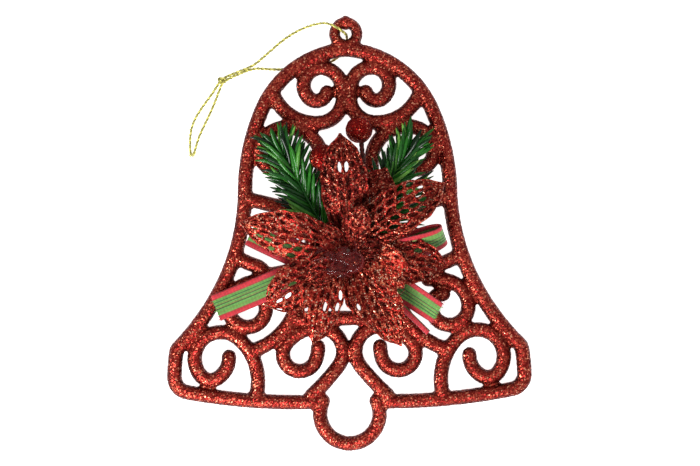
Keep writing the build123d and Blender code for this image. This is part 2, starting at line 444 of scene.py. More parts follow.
# ---- hanging thread -----------------------------------------------------------------
# The routes are the CAD's, in metres, drawn a little closer together before the knot.
floor_level = 0.00045
hole_start = (0.0, 0.0684, 0.0034)
front_route = [
    hole_start, (-0.0009, 0.0692, 0.0073), (-0.0059, 0.0723, 0.0073), (-0.0106, 0.0721, 0.0036),
    (-0.016, 0.0703, 0.0009), (-0.0215, 0.067, floor_level), (-0.0266, 0.0626, floor_level),
    (-0.0318, 0.0581, floor_level), (-0.037, 0.0561, floor_level), (-0.0432, 0.0537, floor_level),
    (-0.0459, 0.049, floor_level), (-0.0498, 0.044, floor_level), (-0.053, 0.039, floor_level),
    (-0.0544, 0.0334, floor_level), (-0.0541, 0.0278, floor_level),
]
back_route = [
    hole_start, (0.0007, 0.06778, floor_level), (-0.001, 0.062, floor_level),
    (-0.0056, 0.0586, floor_level), (-0.0124, 0.0579, floor_level), (-0.0194, 0.0566, floor_level),
    (-0.0264, 0.0567, floor_level), (-0.0318, 0.0572, floor_level), (-0.0366, 0.0554, floor_level),
    (-0.0428, 0.0526, floor_level), (-0.0444, 0.0482, floor_level), (-0.0466, 0.0428, floor_level),
    (-0.0492, 0.0376, floor_level), (-0.0516, 0.0326, floor_level), (-0.0529, 0.0276, floor_level),
]
knot_centre = (-43.0, 53.1, 1.3)


def route_line(name, route):
    """Points of the route's NURBS spline, in metres."""
    curve = bpy.data.curves.new(name, "CURVE")
    curve.dimensions = "3D"
    curve.resolution_u = 24
    spline = curve.splines.new("NURBS")
    spline.points.add(len(route) - 1)
    for point, at in zip(spline.points, route):
        point.co = (*at, 1.0)
    spline.order_u = 3
    spline.use_endpoint_u = True
    obj = show(name, curve)
    bpy.context.view_layer.update()
    data = bpy.data.meshes.new_from_object(obj)
    line = [tuple(v.co) for v in data.vertices]
    bpy.data.objects.remove(obj)
    return line


def even(line, step):
    """The same line with points one step apart."""
    p = np.array(line, float)
    run = distances(p)
    at = np.linspace(0, run[-1], max(4, int(run[-1] / step)))
    return np.stack([np.interp(at, run, p[:, k]) for k in range(3)], axis=1)


def twisted(batch, points, seed, radius=0.3, strands=2, pitch=2.8, reach=0.2):
    """Strands laid round a line, as in a twisted metallic thread."""
    p, t, side, up = steady_frames(points)
    run = distances(p)
    rng = np.random.default_rng(seed)
    for k in range(strands):
        wander = np.interp(run, np.linspace(0, run[-1], 24), rng.normal(0, 0.25, 24))
        a = 2 * math.pi * (run / pitch + k / strands) + wander
        line = p + reach * (np.cos(a)[:, None] * side + np.sin(a)[:, None] * up)
        thick = radius * (1 + 0.12 * np.sin(run * 5.1 + k))
        line[:, 2] = np.maximum(line[:, 2], thick)
        tube(batch, line, thick, 8, tone=0.18 + 0.62 * (k % 2))


def thread_half(name, route, seed):
    path = route_line(name, route)
    batch = Batch()
    twisted(batch, even(np.array(path) / MM, 0.16), seed)
    return link(name, batch, thread_gold), path


thread_front, front_path = thread_half("thread_front", front_route, 3)
thread_back, back_path = thread_half("thread_back", back_route, 4)

knot = Batch()
turns = np.linspace(0, 2 * math.pi, 90)
trefoil = np.stack([
    0.42 * (np.sin(turns) + 2 * np.sin(2 * turns)) + knot_centre[0],
    0.36 * (np.cos(turns) - 2 * np.cos(2 * turns)) + knot_centre[1],
    -0.5 * np.sin(3 * turns) + knot_centre[2],
], axis=1)
twisted(knot, trefoil, 5, radius=0.26)
thread_knot = link("thread_knot", knot, thread_gold)


def hair(batch, start, heading, length, curl, tone):
    """One loose filament that lies beside the thread."""
    points = []
    for s in np.linspace(0, 1, 8):
        b = math.radians(heading) + curl * s
        points.append((start[0] + length * s * math.cos(b), start[1] + length * s * math.sin(b),
                       max(0.14, start[2] + 0.12 * math.sin(4 * s + heading))))
    tube(batch, points, np.linspace(0.11, 0.06, 8), 5, tone=tone)


wisps = Batch()
rng = np.random.default_rng(SEED)
for end, heading in ((front_route[-1], 268), (back_route[-1], 250)):
    x, y, z = (c / MM for c in end)
    for i in range(12):
        hair(wisps, (x + rng.normal(0, 0.2), y + 0.8, z - 0.15), heading + rng.normal(0, 11),
             rng.uniform(1.2, 2.6), rng.normal(0, 0.5), rng.uniform(0.3, 1.0))
for i, (x, y) in enumerate(((-54.2, 36.4), (-54.8, 33.0), (-55.0, 31.4), (-54.7, 29.8))):
    hair(wisps, (x, y, 0.4), 196 + 9 * i + rng.normal(0, 8), rng.uniform(3.0, 5.4), rng.normal(0.2, 0.4), 0.1)
thread_wisps = link("thread_wisps", wisps, thread_gold)

for piece in (thread_front, thread_back, thread_knot, thread_wisps):
    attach(piece, "hanging_loop")
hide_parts("hanging_cord_front")
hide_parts("hanging_cord_back")
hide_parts("cord_knot")


# ---- the moulding -------------------------------------------------------------------
def arcs(start, heading, *legs):
    """Points of a smooth chain of tangent arcs. A leg is a radius and how far it turns left."""
    x, y = start
    a = math.radians(heading)
    points = [(x, y)]
    for radius, turn in legs:
        sweep = math.radians(turn)
        hand = 1 if turn > 0 else -1
        cx, cy = x - hand * radius * math.sin(a), y + hand * radius * math.cos(a)
        steps = max(3, int(abs(sweep) * radius / 0.9))
        for i in range(1, steps + 1):
            b = a + sweep * i / steps
            points.append((cx + hand * radius * math.sin(b), cy - hand * radius * math.cos(b)))
        a += sweep
        x, y = points[-1]
    return points


def bar_profile(half, top, low, corner=0.9):
    """Across a bar: round above, and flat with small corners behind."""
    middle = (top + low) / 2
    rise = top - middle
    shape = [(half * math.cos(a), middle + rise * math.sin(a)) for a in np.linspace(0, math.pi, 11)]
    for x, first, last in ((corner - half, 1.0, 1.5), (half - corner, 1.5, 2.0)):
        for a in np.linspace(first * math.pi, last * math.pi, 4):
            shape.append((x + corner * math.cos(a), low + corner + corner * math.sin(a)))
    return shape


def moulded(batch, points, half=bar / 2 + 0.16, ends=True):
    """A bar along a flat line, with rounded ends."""
    p = np.array(points, float)
    t = tangents(p)
    profile = bar_profile(half, front, back)
    middle = (front + back) / 2
    stations = [(p[i], t[i], 1.0) for i in range(len(p))]
    if ends:
        caps = [math.radians(a) for a in (30, 55, 75, 88)]
        stations = (
            [(p[0] - t[0] * half * math.sin(a), t[0], math.cos(a)) for a in reversed(caps)]
            + stations
            + [(p[-1] + t[-1] * half * math.sin(a), t[-1], math.cos(a)) for a in caps]
        )
    verts, faces = [], []
    m = len(profile)
    for at, along, scale in stations:
        nx, ny = -along[1], along[0]
        for a, z in profile:
            verts.append((at[0] + nx * a * scale, at[1] + ny * a * scale, middle + (z - middle) * scale))
    for i in range(len(stations) - 1):
        for k in range(m):
            j = (k + 1) % m
            faces.append((i * m + k, i * m + j, (i + 1) * m + j, (i + 1) * m + k))
    last = (len(stations) - 1) * m
    faces.append(tuple(range(m - 1, -1, -1)))
    faces.append(tuple(last + k for k in range(m)))
    batch.add(verts, faces)


# The bars of the right half, which the left half mirrors.
centrelines = dict(
    rim=arcs((0, 63.2), -4, (34.5, -62), (72, -23), (75, 26), (83, 18)),
    foot=arcs((58.8, -39.0), 316, (2.6, -37), (63, -8), (5.2, -80), (207, -12)),
    crown_scroll=arcs((25.2, 48.0), 249, (15.7, -75), (8.6, -92), (58.8, 2.6), (7.2, -85), (6.0, -138),
                      (3.7, -120)),
    shoulder_scroll=arcs((6.7, 5.0), 78, (77.3, 14), (12.3, -102), (8.6, -80), (6.3, -150)),
    side_bow=arcs((34.9, 12.2), 196, (210, -3), (22.8, 18), (10.7, 128), (25.7, 22)),
    side_strut=arcs((37.7, -8.5), 209, (30.3, -12), (4.6, 56)),
    side_scroll=arcs((27.5, -16.3), 2, (27.4, -14), (9.0, -79), (6.4, -191), (3.7, -84)),
    corner_scroll=arcs((32.2, -56), 105, (20.0, -60), (9.8, -36), (9.1, -138), (4.5, -79), (8.0, -65)),
    foot_scroll=arcs((13.1, -56), 138, (77.2, -10), (8.5, -137), (15.9, -40), (5.9, -201), (13.1, -20)),
    brace=arcs((32.8, -40.1), 163, (22.1, -68), (34.8, -14)),
)
clapper_y, clapper_radius = -62.4, 10.25
hidden_ring_y, hidden_ring_radius = -4.0, 9.5      # behind the flower
cross_bar_y, cross_bar_reach = -29.4, 18.7
eyelet_y, eyelet_radius, eyelet_half = 68.6, 3.88, 1.85


def circle(centre_y, radius, start, end, step=0.9):
    """Points of an arc about a centre on the bell's middle line."""
    count = int(math.radians(abs(end - start)) * radius / step) + 2
    return [(radius * math.cos(a), centre_y + radius * math.sin(a))
            for a in np.radians(np.linspace(start, end, count))]


moulding = Batch()
for line in centrelines.values():
    moulded(moulding, line)
    moulded(moulding, [(-x, y) for x, y in line])
moulded(moulding, circle(clapper_y, clapper_radius, 26, -206))
moulded(moulding, circle(hidden_ring_y, hidden_ring_radius, 0, 362), ends=False)
moulded(moulding, [(x, cross_bar_y) for x in np.linspace(-cross_bar_reach, cross_bar_reach, 30)])
moulded(moulding, circle(eyelet_y, eyelet_radius, 0, 362), half=eyelet_half, ends=False)
for x in (-1.5, 1.5):
    moulded(moulding, [(x, y) for y in np.linspace(63.1, 64.6, 3)], half=2.2)
moulded(moulding, [(0, y) for y in np.linspace(71.2, 73.6, 4)], half=1.3)

bell = link("bell_moulding", moulding, bell_glitter)
skin = bell.modifiers.new("skin", "REMESH")
skin.mode = "VOXEL"
skin.voxel_size = 0.00054
settle(bell)


def paint_side_shade(obj, low=0.28):
    """Paints shade on the bell: a face is darker the more steeply it turns from facing up, as the sides of
    the round bars fall into shade.
    """
    data = obj.data
    n = len(data.vertices)
    no = np.zeros(n * 3)
    data.vertex_normals.foreach_get("vector", no)
    up = no.reshape(-1, 3)[:, 2]
    tone = np.clip(1.1 * np.abs(up) ** 2.1, low, 1.0)
    shade = data.attributes.get("tone") or data.attributes.new("tone", "FLOAT", "POINT")
    shade.data.foreach_set("value", tone.astype(np.float32))


paint_side_shade(bell)
grains(bell, 0.11, SEED + 1)
bell.data.materials.clear()
bell.data.materials.append(bell_glitter)
on_bell(bell, "bell_frame")


# ---- flower -------------------------------------------------------------------------
OUTLINE_AT = (0.0, 0.08, 0.2, 0.34, 0.5, 0.64, 0.78, 0.86, 0.92, 0.955, 0.975, 1.0)
OUTLINE = (0.2, 0.34, 0.66, 0.9, 1.0, 0.99, 0.84, 0.66, 0.42, 0.2, 0.09, 0.02)


def outline(s):
    """Half width of a petal along its length, as a share of the widest."""
    return float(np.interp(s, OUTLINE_AT, OUTLINE))


class Petal:
    """One punched leaf: place() bends its flat pattern into the flower."""

    def __init__(self, length, width, angle, level, rise, rng, arch=1.6, droop=1.2, shift=(0, 0),
                 bend=0.0, taper=0.1, open_share=0.0, open_rows=(3, 3), open_span=(0.0, 1.0), shade=0.8):
        self.length, self.width, self.level = length, width, level
        self.angle = math.radians(angle)
        self.rise = math.radians(rise)
        self.arch, self.droop, self.shift, self.shade = arch, droop, shift, shade
        self.open_share, self.open_rows, self.open_span = open_share, open_rows, open_span
        self.cup = rng.uniform(-0.02, 0.03)
        self.twist = rng.uniform(-0.22, 0.22)
        self.bend, self.taper = bend + rng.uniform(-0.012, 0.012), taper
        self.phase = rng.uniform(0, 6.28)
        self.ripple = rng.uniform(0.35, 0.75)

    def half(self, s):
        s = min(max(s, 0), 1)
        return self.width / 2 * outline(s) * (1 - self.taper * s * s)

    def place(self, s, t, lift=0.0):
        u = 1.2 + (self.length - 1.2) * s
        half = self.half(s)
        edge = 1 + 0.035 * math.sin(self.phase + 30 * s) * abs(t)
        v = t * half * edge
        h = u * math.tan(self.rise) + self.arch * math.sin(math.pi * s) - self.droop * s**3
        h += self.cup * v * v + self.ripple * t * abs(t) * math.sin(self.phase + 7 * s) + lift
        turn = self.twist * s
        v, h = v * math.cos(turn), h + v * math.sin(turn)
        v += self.bend * self.length * s * s
        x = u * math.cos(self.angle) - v * math.sin(self.angle)
        y = u * math.sin(self.angle) + v * math.cos(self.angle)
        return (flower_x + self.shift[0] + x, flower_y + self.shift[1] + y, self.level + h)


RING = [(-1, -1), (0, -1), (1, -1), (1, 0), (1, 1), (0, 1), (-1, 1), (-1, 0)]
SUNK = 0.34      # how far the floor of a blind hole lies below the leaf


def ring_band(a, b):
    """Faces between the ring of eight points that starts at number a and the one at b."""
    return [(a + i, a + (i + 1) % 8, b + (i + 1) % 8, b + i) for i in range(8)]


def ring_floor(a, middle):
    """Faces that close a ring of eight points round the point in its middle."""
    return [(a + (i + 7) % 8, a + i, a + (i + 1) % 8, middle) for i in range(0, 8, 2)]


def lace(batch, petal, rng, pitch=3.7, across=3, web=0.95, first=0.14):
    """The leaf as a net: a ring of faces round each hole between the side veins."""
    rows = max(4, round(petal.length / pitch))
    low, high = petal.open_span

    def grid(j, k):
        s = j / rows
        t = k / across
        lean = 0.8 * petal.half(s) / petal.length * t
        return min(s + lean * (1 - s) ** 0.25, 1.0), t

    for side in (1, -1):
        for j in range(rows):
            for k in range(across):
                corners = grid(j, k), grid(j + 1, k), grid(j + 1, k + 1), grid(j, k + 1)

                def at(p, q):
                    p, q = (p + 1) / 2, (q + 1) / 2
                    shares = (1 - p) * (1 - q), p * (1 - q), p * q, (1 - p) * q
                    s, t = (sum(w * c[i] for w, c in zip(shares, corners)) for i in range(2))
                    return petal.place(s, side * t)

                def ring(corner, middle):
                    """The hole's outline, with its corners drawn in more than its sides."""
                    drawn = [corner if p and q else middle for p, q in RING]
                    return [at(p * hp * d, q * hq * d) for d, (p, q) in zip(drawn, RING)]

                def put(verts, faces):
                    batch.add(verts, faces if side == 1 else [f[::-1] for f in faces], tone=tone)

                s_mid = (corners[0][0] + corners[2][0]) / 2
                along = petal.length / rows
                wide = petal.half(s_mid) / across
                hp = (1 - web / along) * rng.uniform(0.85, 1.1)
                hq = (1 - web * 0.9 / wide) * rng.uniform(0.85, 1.1)
                outer = [at(p, q) for p, q in RING]
                # Painted shade: a cell is darker towards the petal's foot, near the flower's middle; the
                # petal's shade lightens or darkens it by the light it gets, and the rest differs at random.
                tone = petal.shade * rng.uniform(0.8, 1.15) * min(1.0, 0.4 + 1.7 * s_mid)
                if s_mid < first or hq < 0.2 or hp < 0.2 or rng.random() < 0.05:
                    put(outer + [at(0, 0)], ring_floor(0, 8))
                    continue
                inner = ring(0.8, 1)
                reach = petal.open_rows[0 if side == 1 else 1]
                punched = rng.random() < petal.open_share and k < reach and low < s_mid < high
                if punched:
                    put(outer + inner, ring_band(0, 8))
                    # Painted highlight and painted shade: the vein round an open hole is lighter and the
                    # hole's rim darker.
                    batch.tone[-16:] = [1.3 * tone] * 8 + [0.7 * tone] * 8
                    continue
                sunk = [(x, y, z - SUNK) for x, y, z in ring(0.66, 0.86) + [at(0, 0)]]
                put(outer + inner + sunk, ring_band(0, 8) + ring_band(8, 16) + ring_floor(16, 24))
                # Painted shade in a blind hole: its floor is much darker so it reads as a deep hole; the vein
                # is painted lighter and the rim darker, as at an open hole.
                deep = petal.shade * rng.uniform(0.05, 0.42)
                batch.tone[-25:] = [1.3 * tone] * 8 + [0.6 * tone] * 8 + [deep] * 9


def ribs(batch, petal, rib=0.42, rim=0.3):
    """Midrib and rim wire of a leaf."""
    # The ribs follow the petal's painted light and shade, a little less strongly.
    bright = min(1.0, 0.25 + 0.75 * petal.shade)
    line = [petal.place(s, 0, 0.35) for s in np.linspace(0.04, 1.0, 30)]
    tube(batch, line, np.linspace(rib, rib * 0.45, 30), 7, tone=bright)
    for side in (1, -1):
        line = [petal.place(s, side, 0.1) for s in np.linspace(0.1, 1.0, 44)]
        tube(batch, line, rim, 6, tone=bright * 0.85)


def hub(batch, level, radius):
    """The welded middle of a ring of petals: a low glittered lump."""
    def swell(p):
        return 1 + 0.16 * noise.noise(p * 2.3 + Vector((level, 0, 0)))
    # Painted shade: the hub's tone of 0.35 makes it darker, as the middle of the flower lies in shade under
    # its petals.
    blob(batch, 3, (flower_x, flower_y, level + 0.9), (radius, radius, 1.1), swell, 0.35)


def whorl(name, level, petals, rise, width, seed, node, **pattern):
    """One ring of petals. The net is thickened and rounded before its ribs are added."""
    rng = np.random.default_rng(seed)
    net, wires = Batch(), Batch()
    for angle, length, own in petals:
        own = dict(own)
        net_size = dict(pattern, **own.pop("net", {}))
        leaf = Petal(length, own.pop("width", width), angle, level, own.pop("rise", rise), rng, **own)
        lace(net, leaf, rng, **net_size)
        ribs(wires, leaf)
    hub(wires, level, 4.4)
    blade = link(name, net, petal_glitter)
    welded = bmesh.new()
    welded.from_mesh(blade.data)
    bmesh.ops.remove_doubles(welded, verts=welded.verts, dist=0.00002)
    bmesh.ops.recalc_face_normals(welded, faces=welded.faces)
    welded.to_mesh(blade.data)
    welded.free()
    thick = blade.modifiers.new("thick", "SOLIDIFY")
    thick.thickness = 0.00055
    thick.offset = 0
    rounder = blade.modifiers.new("rounder", "SUBSURF")
    rounder.levels = rounder.render_levels = 1
    settle(blade)
    wire = link(name + "_wire", wires, petal_glitter)
    joined = bmesh.new()
    joined.from_mesh(blade.data)
    joined.from_mesh(wire.data)
    joined.to_mesh(blade.data)
    joined.free()
    bpy.data.objects.remove(wire)
    grains(blade, 0.085, seed + 9)
    on_bell(blade, node)


# Each petal: its angle, its length and what sets it apart from the rest of its ring.
# A petal's shade is painted light and shade: it makes the whole petal lighter or darker by how much light
# falls on it.
lower_petals = [
    (64, 31, dict(open_share=0.15, shade=0.5)),
    (133, 12, dict(shade=0.3)),
    (214, 34, dict(open_share=0.4, open_span=(0.45, 0.95), shade=0.95)),
    (288, 27, dict(width=13.0, open_share=0.2, droop=1.8, shade=0.9)),
    (350, 34, dict(open_share=0.15, open_rows=(2, 2), shade=0.62)),
]
upper_petals = [
    (36, 40, dict(arch=1.2, droop=0.6, shift=(-0.8, 1.1), bend=-0.07, taper=0.12, open_share=0.85,
                  open_rows=(3, 2), open_span=(0.2, 0.8), shade=0.66, net=dict(pitch=4.2, web=0.85))),
    (94, 40, dict(arch=1.8, droop=1.0, shift=(0.7, 0.0), width=16.4, open_share=1.0, open_rows=(1, 1),
                  open_span=(0.64, 0.8), shade=0.5, net=dict(pitch=5.0))),
    (166, 38, dict(arch=1.4, droop=2.4, shift=(0.0, 0.5), taper=0.42, width=17.8, open_share=0.7,
                   open_rows=(3, 0), open_span=(0.25, 0.9), shade=0.9)),
    (250, 33, dict(arch=1.0, droop=1.6, width=13.4, shift=(-3.0, 0.0), bend=0.07, taper=0.2,
                   open_share=0.4, open_span=(0.4, 0.9), shade=1.0, net=dict(pitch=4.0))),
    (301, 37.2, dict(arch=1.2, droop=1.8, bend=-0.04, taper=0.35, width=17.0, open_share=0.1,
                     open_span=(0.3, 0.9), shade=1.0)),
]
inner_petals = [
    (72, 16, dict(rise=33, shade=0.5)),
    (144, 12, dict(rise=34, shade=0.5, width=8.0)),
    (216, 18, dict(rise=7, width=10.0, shade=0.5)),
    (0, 14, dict(rise=9, width=8.0, shade=0.3)),
    (306, 21, dict(arch=1.6, droop=2.2, rise=9, width=12.6, shift=(6.4, 4.0), shade=1.3, net=dict(web=1.5))),
]
whorl("petals_lower", lower_level, lower_petals, 10.0, 16.5, SEED + 20, "flower_whorl_lower")
whorl("petals_upper", upper_level, upper_petals, 10.0, 16.5, SEED + 30, "flower_whorl_upper")
whorl("petals_inner", inner_level, inner_petals, 28.0, 9.5, SEED + 40, "flower_whorl_inner",
      pitch=3.2, across=2, web=1.1)


def lump(centre, size, seed, rough):
    """Poured glue: a ball pushed about by noise."""
    def swell(p):
        return (1 + rough * noise.noise(p * 1.7 + Vector((seed, 0, 0)))
                + rough * 0.4 * noise.noise(p * 4.1 + Vector((0, seed, 0))))
    batch = Batch()
    blob(batch, 4, centre, size, swell, 0.8)
    return batch


heart = lump((-2.4, -9.6, 14.9), (8.6, 4.9, 1.9), 3.1, 0.6)
strand_path = smooth_line([(-3.4, -5.2, 17.6), (-2.2, -6.7, 18.9), (0.2, -7.1, 19.3), (2.4, -6.5, 19.1),
                           (2.9, -4.6, 18.7), (2.0, -3.0, 18.0)], 40)
tube(heart, strand_path, 0.42, 10, tone=1.0)
for line, thick in (
    ([(-12.6, -9.6, 15.8), (-8.5, -8.6, 17.4), (-4.0, -9.2, 18.2), (0.6, -10.8, 18.2)], 0.34),
    ([(2.8, -6.6, 18.0), (4.9, -8.4, 18.4), (4.6, -11.2, 17.9), (1.6, -13.4, 17.0)], 0.5),
    ([(-10.6, -12.2, 15.8), (-6.6, -13.0, 17.2), (-2.4, -13.6, 17.2), (0.6, -15.0, 15.8)], 0.3),
    ([(-6.0, -6.2, 17.2), (-4.8, -8.8, 18.2), (-5.6, -11.6, 17.8)], 0.3),
    ([(17.4, -16.4, 17.0), (19.0, -19.4, 17.2), (16.6, -21.6, 16.6), (11.0, -23.6, 15.2)], 0.2),
    ([(-6.0, -17.0, 15.0), (-9.6, -21.0, 14.2), (-14.4, -22.6, 13.6)], 0.18),
):
    tube(heart, smooth_line(line, 30), thick, 9, tone=1.0)
on_bell(link("flower_heart", heart, crown_glue), "flower_crown")

pad = lump((0, -5, front + 1.3), (9.6, 9.6, 1.9), 7.7, 0.14)
on_bell(link("glue_blob", pad, clear_glue), "glue_pad")


# ---- greenery -----------------------------------------------------------------------
def needle(batch, base, heading, climb, length, width, rng):
    """One moulded needle: flat, ridged, pointed and a little bowed."""
    a = math.radians(heading)
    bow = rng.normal(0, 0.12)
    sag = rng.uniform(0.05, 0.3)
    pts = []
    for s in np.linspace(0, 1, 8):
        b = a + bow * s
        r = length * s
        z = base[2] + r * math.sin(math.radians(climb)) - sag * s * s * 2.2
        pts.append((base[0] + r * math.cos(b), base[1] + r * math.sin(b), max(z, front + 0.35)))
    radii = width / 2 * np.array((0.6, 0.9, 1.0, 1.0, 1.0, 0.92, 0.7, 0.2))
    tube(batch, pts, radii, 8, tone=float(np.clip(rng.normal(0.42, 0.3), 0, 1)), flat=0.6)


def sprig(name, line, length, left, right, seed, node, under=()):
    """Needles in two rows on each side of a bending twig, with a tuft at its end. left and
    right are the needles' angles to the twig at its foot and at its end; under lists low ones."""
    rng = np.random.default_rng(seed)
    batch = Batch()
    twig = smooth_line(line, 60)
    tube(batch, twig, np.linspace(0.75, 0.4, 60), 8, tone=0.5)
    count = 22
    for i in range(count):
        s = 0.02 + 0.98 * i / (count - 1)
        j = min(int(s * 59), 58)
        here = twig[j]
        step = twig[j + 1] - twig[j]
        heading = math.degrees(math.atan2(step[1], step[0]))
        size = length * (1.0 - 0.1 * s)
        for (foot_angle, end_angle), hand in ((left, 1), (right, -1)):
            for climb, share in ((5, 1.0), (20, 0.62)):
                off = hand * share * (foot_angle + (end_angle - foot_angle) * s) + rng.normal(0, 4)
                needle(batch, here, heading + off, climb + rng.normal(0, 4),
                       size * rng.uniform(0.86, 1.08), rng.uniform(1.2, 1.55), rng)
    for x, y, aim, reach in under:
        needle(batch, (x, y, line[0][2]), aim + rng.normal(0, 2), 3, reach, 1.2, rng)
    for i in range(9):
        needle(batch, twig[-1], heading + (i - 4) * 8 + rng.normal(0, 3), rng.uniform(2, 20),
               length * rng.uniform(0.55, 0.8), 1.3, rng)
    on_bell(link(name, batch, pine_green), node)


twig_z = front + 1.7
sprig("sprig_left", [(-7.6, 0.5, twig_z), (-12.8, 10.0, twig_z + 0.7), (-18.2, 20.4, twig_z + 1.0),
                     (-22.4, 28.0, twig_z + 0.6)], 12.8, (62, 26), (52, 46), SEED + 50, "pine_sprig_left",
      under=[(-11.0 - 0.9 * i, 5.4 + 1.8 * i, 176 - 3 * i, 12.5) for i in range(7)])
sprig("sprig_right", [(8.0, 6.4, twig_z), (12.6, 14.0, twig_z + 0.6), (17.0, 21.4, twig_z + 0.8),
                      (21.0, 28.0, twig_z + 0.4)], 12.6, (38, 40), (56, 24), SEED + 60, "pine_sprig_right",
      under=[(8 + 0.9 * i, 2.4 + 1.1 * i, 4 + 2.0 * i, 19 - 0.5 * i) for i in range(12)]
      + [(6.5 + 0.5 * i, 1.0 + 0.5 * i, -4 + 6 * i, 13) for i in range(5)]
      + [(9.0 + 1.2 * i, 0.4 + 0.9 * i, 2 + 3 * i, 15) for i in range(6)])


def wire_piece(name, points, radius, material, node, wrap):
    """A stem wire with paper tape wound on it, which stands out by the wrap's share."""
    batch = Batch()
    line = smooth_line(points, 70)
    run = np.linspace(0, 1, 70)
    tube(batch, line, radius * (1 + wrap * np.sin(run * 90)), 9, tone=0.7)
    on_bell(link(name, batch, material), node)


stem_z = front + 1.3
wire_piece("twig_stem_left", [(-5.5, 1.0, stem_z), (-9.0, 5.2, stem_z + 0.1), (-12.8, 10.2, stem_z + 0.2)],
           0.6, stem_wire, "pine_stem_left", 0.14)
wire_piece("twig_stem_right", [(4.6, 0.4, stem_z), (9.0, 9.4, stem_z + 0.1), (14.0, 19.0, stem_z + 0.2)],
           0.6, stem_wire, "pine_stem_right", 0.14)
wire_piece("berry_wire_top", [(2.6, 2.0, 8.0), (5.0, 17.0, 8.0), (5.4, 24.0, 8.2), (4.9, 32.0, 8.6)],
           0.85, berry_wire, "berry_stem_top", 0.08)
wire_piece("berry_wire_left", [(-2.6, 2.0, 7.9), (-5.6, 12.6, 7.8), (-8.0, 23.2, 8.6)],
           0.7, berry_wire, "berry_stem_left", 0.08)


BERRY_RADIUS = 4.6
berry_z = front + 4.85


def berry(name, x, y, seed, node, tail):
    """A foam ball rolled in glitter, dented where its stem goes in."""
    into = Vector(tail).normalized()

    def swell(p):
        dent = 0.22 * max(0.0, p.dot(into) - 0.9) / 0.1
        return 1 + 0.035 * noise.noise(p * 2.0 + Vector((seed, 0, 0))) + 0.02 * noise.noise(p * 9.0) - dent
    batch = Batch()
    blob(batch, 5, (x, y, berry_z), (BERRY_RADIUS,) * 3, swell, 0.8)
    obj = link(name, batch, berry_glitter)
    on_bell(grains(obj, 0.09, seed), node)


berry("berry_ball_top", 4.2, 35.2, SEED + 70, "berry_top", (-0.1, -1, -0.4))
berry("berry_ball_left", -8.3, 25.9, SEED + 71, "berry_left", (0.2, -1, -0.4))


# ---- ribbon -------------------------------------------------------------------------
RIBBON = 9.4
EDGE = [(-1.0, 0.0), (-0.97, 0.1), (-0.85, 0.13), (-0.72, 0.11), (-0.66, 0.02)]   # a raised satin edge
CORDS = [(at + off, rise) for at in (-0.43, -0.13, 0.17, 0.47)                     # four raised cords
         for off, rise in ((-0.07, 0.02), (0.0, 0.12), (0.07, 0.02))]
# Across the ribbon from -1 to 1, and how far its surface stands up.
SECTION = EDGE + CORDS + [(-at, rise) for at, rise in reversed(EDGE)]


def strip(batch, points, sideways, width=RIBBON, thick=0.16, fold=None):
    """A length of ribbon along a line. sideways gives its width's direction at each point."""
    p = np.array(points, float)
    run = distances(p)
    t = tangents(p)
    verts, uvs = [], []
    m = len(SECTION)
    for face in (1, -1):
        for i in range(len(p)):
            side = np.array(sideways[i], float)
            side -= t[i] * side.dot(t[i])
            side /= np.linalg.norm(side)
            up = np.cross(t[i], side)
            for a, rise in SECTION:
                x, z = (a * width / 2, 0.0) if fold is None else fold(a)
                stand = thick / 2 + (rise if fold is None else 0.25 * rise)
                verts.append(p[i] + side * x + up * (z + face * stand))
                uvs.append(((a + 1) / 2, run[i]))
    n = len(p) * m
    faces = []
    for i in range(len(p) - 1):
        for k in range(m - 1):
            a, b = i * m + k, (i + 1) * m + k
            faces.append((a, b, b + 1, a + 1))
            faces.append((n + a, n + a + 1, n + b + 1, n + b))
        for k in (0, m - 1):
            a, b = i * m + k, (i + 1) * m + k
            faces.append((a, n + a, n + b, b) if k == 0 else (a, b, n + b, n + a))
    for i in (0, len(p) - 1):
        for k in range(m - 1):
            a = i * m + k
            faces.append((a, a + 1, n + a + 1, n + a) if i == 0 else (a, n + a, n + a + 1, a + 1))
    batch.add(verts, faces, uvs)
    return run[-1]


def frayed(batch, end, along, side, rng, width=RIBBON):
    """Loose threads at a cut end."""
    for i in range(26):
        a = rng.uniform(-0.5, 0.5) * width
        start = end + side * a + np.array((0, 0, rng.uniform(-0.06, 0.1)))
        reach = rng.uniform(0.3, 1.3)
        lean = rng.normal(0, 0.35)
        pts = [start - along * 0.3 + (along * reach * s + side * lean * s * s * reach)
               for s in np.linspace(0, 1, 4)]
        first = len(batch.verts)
        tube(batch, pts, np.array((0.07, 0.07, 0.06, 0.03)), 4)
        for k in range(first, len(batch.verts)):
            batch.uvs[k] = (a / width + 0.5, 0.1)


def ribbon_piece(name, batch, node):
    obj = on_bell(link(name, batch, ribbon_weave), node)


def lay(start, end, level):
    """Both ends of a straight run, its direction and the direction across it."""
    a, b = np.array((*start, level)), np.array((*end, level))
    along = (b - a) / np.linalg.norm(b - a)
    return a, b, along, np.array((-along[1], along[0], 0.0))


def tail(name, start, end, level, seed, node, wave=0.5, curl=0.6, turn=0.0):
    rng = np.random.default_rng(seed)
    a, b, along, side = lay(start, end, level)
    pts, sides = [], []
    for s in np.linspace(0, 1, 60):
        lift = wave * math.sin(math.pi * s * 2.1) * s + curl * s**4
        pts.append(a + (b - a) * s + np.array((0, 0, 0.35 + lift)) + side * 0.4 * math.sin(2.6 * s))
        roll = 0.10 * math.sin(3.1 * s + seed) + turn * min(1.0, 1.6 * s)
        sides.append(side * math.cos(roll) + np.array((0, 0, math.sin(roll))))
    batch = Batch()
    length = strip(batch, pts, sides)
    frayed(batch, pts[-1], along, side, rng)
    ribbon_piece(name, batch, node)


